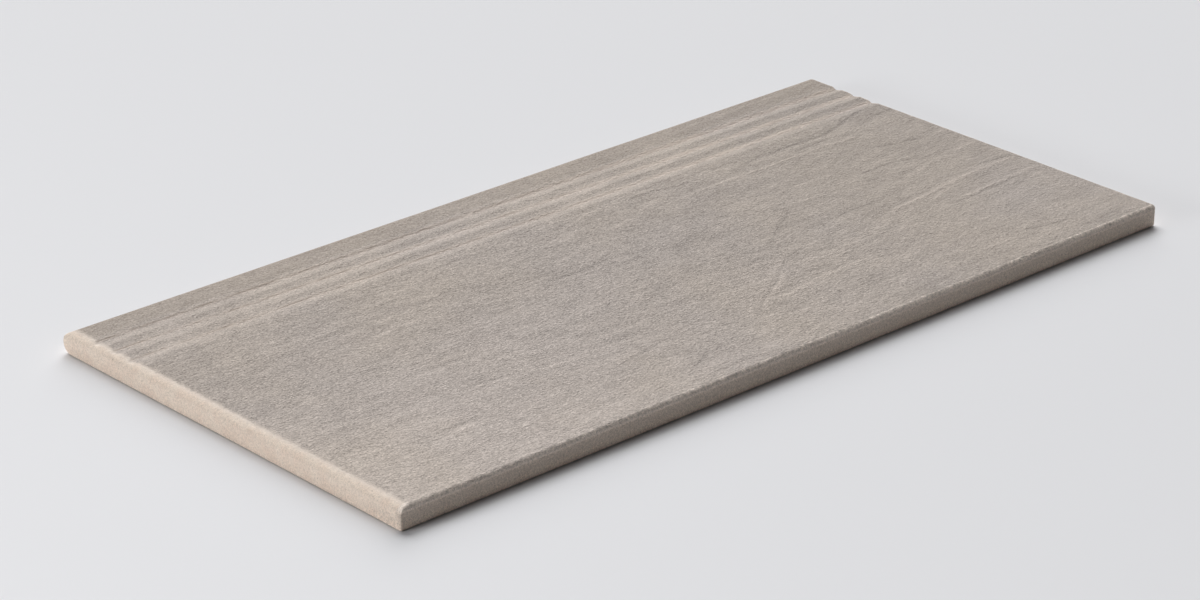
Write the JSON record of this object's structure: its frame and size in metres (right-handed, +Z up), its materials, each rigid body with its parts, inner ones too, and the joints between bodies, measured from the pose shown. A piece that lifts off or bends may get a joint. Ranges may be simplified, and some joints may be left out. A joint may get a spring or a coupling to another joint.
{
  "type": "stair nosing tile",
  "caption": "Flat rectangular stoneware stair tread tile with a bullnose along a long edge, grip grooves running beside it and a rounded exposed end",
  "frame": {"origin": "middle of the flat underside, on the bedding plane", "axes": "+X along the long side towards the square butted end, +Y towards the rounded nose, +Z up out of the walking face"},
  "size_m": [0.6, 0.3, 0.0135],
  "materials": {
    "stoneware": "matt, textured stone-look face over a beige fired body"
  },
  "bodies": {
    "root": {"stair_nosing_tile": "stoneware"}
  },
  "joints": []
}
